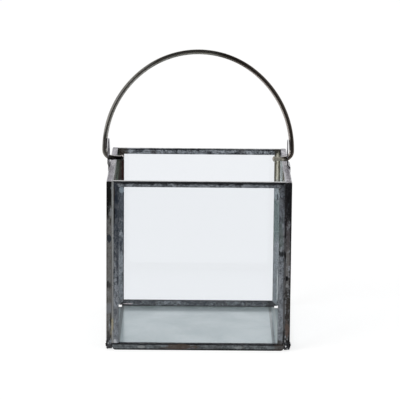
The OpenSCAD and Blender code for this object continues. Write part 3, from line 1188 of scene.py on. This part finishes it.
@dataclass
class StudioCamera:
    """A long lens a little above the lantern, square to its front."""

    side: float = -0.0029
    distance: float = 2.0314
    height: float = 0.5362
    pitch: float = math.radians(11.836)
    yaw: float = math.radians(-0.104)
    roll: float = math.radians(0.483)
    lens: float = 222.05
    sensor: float = 36.0
    sight: float = 50.0

    def build(self) -> None:
        """Makes the camera and sets it as the scene's."""
        data = bpy.data.cameras.new("camera")
        data.lens = self.lens
        data.sensor_width = self.sensor
        data.clip_end = self.sight
        camera = bpy.data.objects.new("camera", data)
        turn = Matrix.Rotation(self.yaw, 4, "Z") @ Matrix.Rotation(math.pi / 2 - self.pitch, 4, "X")
        turn = turn @ Matrix.Rotation(self.roll, 4, "Z")
        camera.matrix_world = Matrix.Translation((self.side, -self.distance, self.height)) @ turn
        bpy.context.scene.collection.objects.link(camera)
        bpy.context.scene.camera = camera
        LOG.info("made the camera")


@dataclass(frozen=True)
class Lamp:
    """A soft square lamp that faces the lantern and that metal doesn't mirror."""

    name: str
    place: Triple
    power: float
    size: float = 1.4
    aim: Triple = (0.0, 0.0, 0.08)

    def build(self) -> None:
        """Makes the lamp."""
        data = bpy.data.lights.new(self.name, "AREA")
        data.size = self.size
        data.energy = self.power
        lamp = bpy.data.objects.new(self.name, data)
        aim = Vector(self.aim) - Vector(self.place)
        turn = aim.to_track_quat("-Z", "Y").to_matrix().to_4x4()
        lamp.matrix_world = Matrix.Translation(self.place) @ turn
        lamp.visible_glossy = False
        bpy.context.scene.collection.objects.link(lamp)


@dataclass(frozen=True)
class Fade:
    """A number that goes smoothly from first to last between two places."""

    start: float
    end: float
    first: float = 0.0
    last: float = 1.0

    def at(self, graph: Graph, place: Socket) -> Socket:
        """Gives the socket of the number at a place."""
        return graph.span(place, self.start, self.end, self.first, self.last)


@dataclass(frozen=True)
class Floor:
    """White paper that keeps the lantern's soft shadow.

    It is just white to the eye, a little darker through glass, and darker still in front as metal sees
    it. Each fade runs along Y.
    """

    size: float = 12.0
    drop: float = 0.05 * MM
    seed: int = 2
    grain: float = 2.0 * MM
    shaded: Triple = (0.90, 0.90, 0.90)
    clean: Triple = (0.92, 0.92, 0.92)
    glow: float = 0.62
    seen: Fade = Fade(0.2, 1.8, 1.17, 1.25)
    through_glass: Fade = Fade(-0.12, 0.10, 0.82, 1.0)
    mirrored: Fade = Fade(-0.9, 0.5, 0.06, 0.85)

    def build(self) -> None:
        """Makes the floor."""
        mesh = bmesh.new()
        bmesh.ops.create_grid(mesh, x_segments=1, y_segments=1, size=self.size / 2)
        data = bpy.data.meshes.new("floor")
        mesh.to_mesh(data)
        mesh.free()
        floor = bpy.data.objects.new("floor", data)
        floor.location.z = -self.drop
        bpy.context.scene.collection.objects.link(floor)
        data.materials.append(self.material())

    def material(self) -> Material:
        """Makes the floor's material.

        Returns:
            The material.
        """
        material, graph = new_graph("floor_paper")
        path = graph.add("LightPath")
        refracted = path.outputs["Is Transmission Ray"]
        away = graph.along(Axis.Y)
        paper = graph.add("BsdfDiffuse")
        grain = graph.noise(graph.place(self.seed), self.grain, detail=2.0)
        graph.feed(paper.inputs["Color"], graph.mix(grain, self.shaded, self.clean))
        bright = graph.add("Emission")
        graph.feed(bright.inputs["Strength"], self.seen.at(graph, away))
        glow = graph.math("MULTIPLY", path.outputs["Is Camera Ray"], self.glow)
        lit = graph.mix_shaders(glow, paper, bright)
        through = graph.add("Emission")
        graph.feed(through.inputs["Strength"], self.through_glass.at(graph, away))
        lit = graph.mix_shaders(refracted, lit, through)
        sheen = graph.add("Emission")
        graph.feed(sheen.inputs["Color"], graph.mix(self.mirrored.at(graph, away), BLACK, WHITE))
        mirrored = graph.math("SUBTRACT", path.outputs["Is Glossy Ray"], refracted)
        graph.finish(graph.mix_shaders(mirrored, lit, sheen))
        return material


@dataclass(frozen=True)
class Room:
    """The world: white to the eye and through glass, a pale room in mirrors, and plain light elsewhere.

    Each fade runs along a part of the direction looked in: away, across or up.
    """

    ambient: float = 0.62
    behind: Fade = Fade(0.0, 0.45, 0.035, 1.0)
    left: Fade = Fade(-0.32, -0.64)
    left_upward: Fade = Fade(0.15, 0.55, 1.0, 0.45)
    right: Fade = Fade(0.25, 0.75, 0.0, 0.27)
    upward: Fade = Fade(0.60, 0.92, 1.0, 0.12)

    def build(self) -> None:
        """Makes the world."""
        world = bpy.data.worlds.new("studio")
        bpy.context.scene.world = world
        world.use_nodes = True
        graph = Graph(world.node_tree)
        path = graph.add("LightPath")
        seen = graph.math("MAXIMUM", path.outputs["Is Camera Ray"], path.outputs["Is Transmission Ray"])
        light = graph.mix(path.outputs["Is Glossy Ray"], (self.ambient,) * 3, self.walls(graph))
        background = graph.add("Background")
        graph.feed(background.inputs["Color"], graph.mix(seen, light, WHITE))
        graph.finish(background, "OutputWorld")

    def walls(self, graph: Graph) -> Socket:
        """Gives the brightness of the room that metal mirrors.

        Args:
            graph: the world's graph.

        Returns:
            The brightness's socket.
        """
        split = graph.add("SeparateXYZ")
        graph.feed(split.inputs[0], graph.add("TexCoord").outputs["Generated"])
        across, away, up = split.outputs
        left = graph.math("MULTIPLY", self.left.at(graph, across), self.left_upward.at(graph, up))
        sides = graph.math("MAXIMUM", left, self.right.at(graph, across))
        walls = graph.math("MAXIMUM", self.behind.at(graph, away), sides)
        return graph.math("MULTIPLY", walls, self.upward.at(graph, up))


@dataclass
class Studio:
    """A white sweep under plain soft light: bright behind and on the left, darker towards the camera."""

    floor: Floor = Floor()
    room: Room = Room()
    lamps: tuple[Lamp, ...] = (
        Lamp("key", (-1.5, -1.3, 1.6), 26.0),
        Lamp("fill", (1.6, -1.2, 0.9), 8.0),
    )

    def build(self) -> None:
        """Makes the floor, the world and the lamps."""
        self.floor.build()
        self.room.build()
        for lamp in self.lamps:
            lamp.build()
        bpy.context.scene.view_settings.view_transform = "Standard"
        LOG.info("made the studio")


# ---- Assembly ----


def main() -> None:
    """Builds the lantern's looks and its studio in order."""
    logging.basicConfig(level=logging.INFO, format="%(name)s: %(message)s")
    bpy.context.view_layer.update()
    StudioCamera().build()
    GlazedFrame("front", Axis.X, ("left", "right"), 1).build()
    GlazedFrame("back", Axis.X, ("left", "right"), 11, PaneGlass(tint=(0.865, 0.887, 0.918))).build()
    GlazedFrame("left", Axis.Y, ("front", "back"), 21).build()
    GlazedFrame("right", Axis.Y, ("front", "back"), 31).build()
    BaseTray().build()
    SolderWork().build()
    Ears().build()
    Bail().build()
    Studio().build()


if __name__ == "__main__":
    main()
